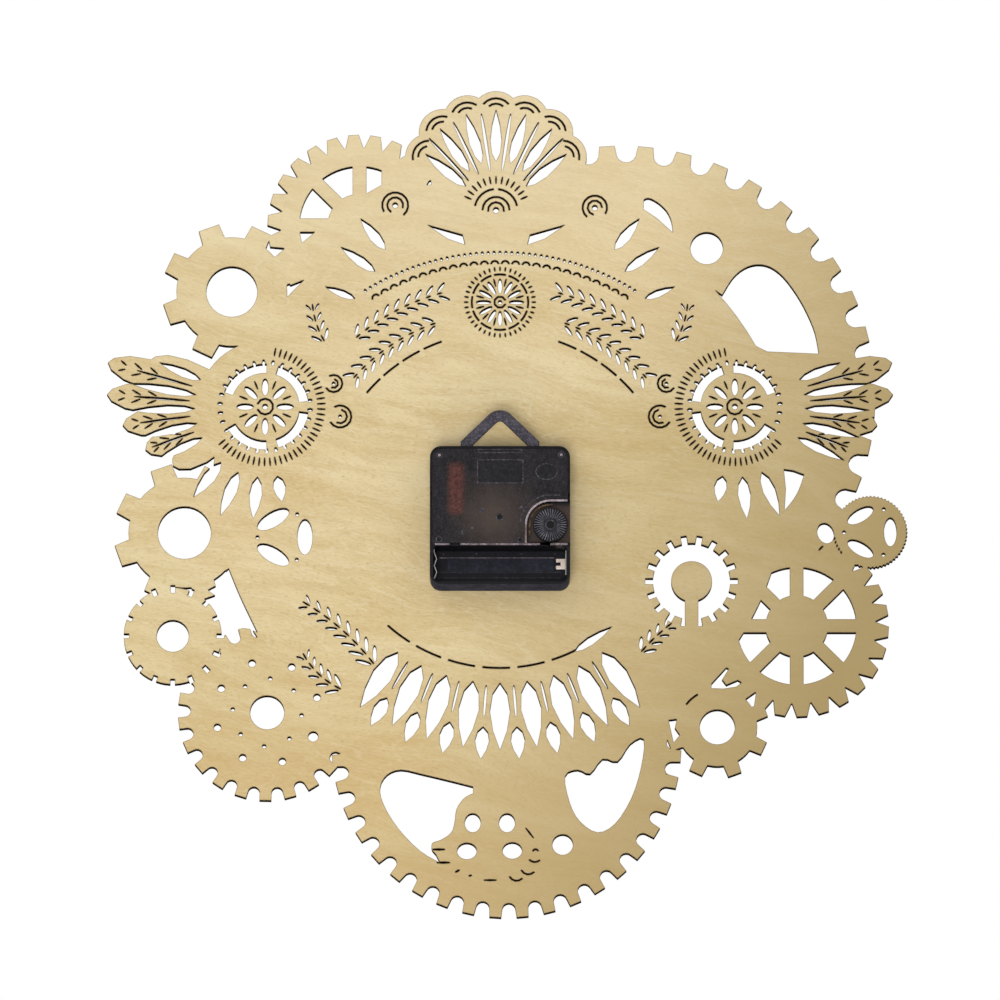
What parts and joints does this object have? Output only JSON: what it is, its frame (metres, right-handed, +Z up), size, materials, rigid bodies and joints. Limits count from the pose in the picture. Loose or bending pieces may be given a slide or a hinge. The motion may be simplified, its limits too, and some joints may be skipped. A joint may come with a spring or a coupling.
{
  "type": "gear wall clock",
  "caption": "Wall clock cut from one sheet of plywood as joined gear wheels, with a square quartz movement, a hanging loop and three hands.",
  "frame": {"origin": "where the axis of the hand arbors meets the wall, in the rear face of the movement's cover", "axes": "+Z up as the clock hangs, +Y from the dial back to the wall, so the dial faces -Y; +X to the right for someone who reads the dial"},
  "size_m": [0.3203, 0.0301, 0.3357],
  "materials": {
    "plywood": "bare birch plywood, laser cut with charred edges",
    "case_black": "smoky black moulded polystyrene",
    "hanger_black": "black plastic",
    "gear_white": "natural acetal",
    "board_green": "green lacquered circuit board",
    "chip_black": "epoxy drop",
    "plated_steel": "nickel plated steel",
    "enamelled_copper": "enamelled copper wire",
    "magnet_grey": "sintered magnet",
    "rubber_black": "soft rubber",
    "brass": "plain brass",
    "hand_black": "black painted sheet"
  },
  "bodies": {
    "clock": {"gear_panel": "plywood", "front_case": "case_black", "rear_cover": "case_black", "hanger": "hanger_black", "mid_plate": "gear_white", "circuit_board": "board_green", "chip": "chip_black", "quartz_crystal": "plated_steel", "coil_bobbin": "gear_white", "coil_winding": "enamelled_copper", "iron_core": "plated_steel", "stator": "plated_steel", "contact_plus": "plated_steel", "contact_minus": "plated_steel", "rubber_washer": "rubber_black", "brass_washer": "brass", "hex_nut": "brass"},
    "rotor": {"rotor_magnet": "magnet_grey", "rotor_pinion": "gear_white"},
    "fifth": {"fifth_wheel": "gear_white"},
    "seconds": {"second_wheel": "gear_white", "second_hand": "hand_black"},
    "third": {"third_wheel": "gear_white"},
    "centre": {"centre_wheel": "gear_white"},
    "minutes": {"minute_arbor": "gear_white", "minute_hand": "hand_black"},
    "minute_idler": {"minute_wheel": "gear_white"},
    "hours": {"hour_wheel": "gear_white", "hour_hand": "hand_black"},
    "knob": {"setting_knob": "case_black"}
  },
  "joints": [
    {"name": "second_spin", "type": "hinge", "parent": "clock", "child": "seconds", "pos_m": [0, 0, 0], "axis": [0, 1, 0], "continuous": true},
    {"name": "rotor_spin", "type": "hinge", "parent": "clock", "child": "rotor", "pos_m": [0.01196, 0, -0.00296], "axis": [0, 1, 0], "continuous": true},
    {"name": "fifth_spin", "type": "hinge", "parent": "clock", "child": "fifth", "pos_m": [0.00859, 0, 0.00357], "axis": [0, 1, 0], "continuous": true},
    {"name": "third_spin", "type": "hinge", "parent": "clock", "child": "third", "pos_m": [-0.00835, 0, 0.00382], "axis": [0, 1, 0], "continuous": true},
    {"name": "centre_spin", "type": "hinge", "parent": "clock", "child": "centre", "pos_m": [0, 0, 0], "axis": [0, 1, 0], "continuous": true},
    {"name": "minute_spin", "type": "hinge", "parent": "clock", "child": "minutes", "pos_m": [0, 0, 0], "axis": [0, 1, 0], "continuous": true},
    {"name": "minute_idler_spin", "type": "hinge", "parent": "clock", "child": "minute_idler", "pos_m": [-0.00832, 0, -0.00115], "axis": [0, 1, 0], "continuous": true},
    {"name": "hour_spin", "type": "hinge", "parent": "clock", "child": "hours", "pos_m": [0, 0, 0], "axis": [0, 1, 0], "continuous": true},
    {"name": "knob_spin", "type": "hinge", "parent": "clock", "child": "knob", "pos_m": [-0.02011, 0, -0.00279], "axis": [0, 1, 0], "continuous": true}
  ],
  "couplings": [
    {"joint": "fifth_spin", "follows": "second_spin", "ratio": -5},
    {"joint": "rotor_spin", "follows": "second_spin", "ratio": 30},
    {"joint": "third_spin", "follows": "second_spin", "ratio": -0.13333},
    {"joint": "centre_spin", "follows": "second_spin", "ratio": 0.016667},
    {"joint": "minute_idler_spin", "follows": "minute_spin", "ratio": -0.33333},
    {"joint": "hour_spin", "follows": "minute_spin", "ratio": 0.083333},
    {"joint": "knob_spin", "follows": "minute_spin", "ratio": 0.375}
  ]
}
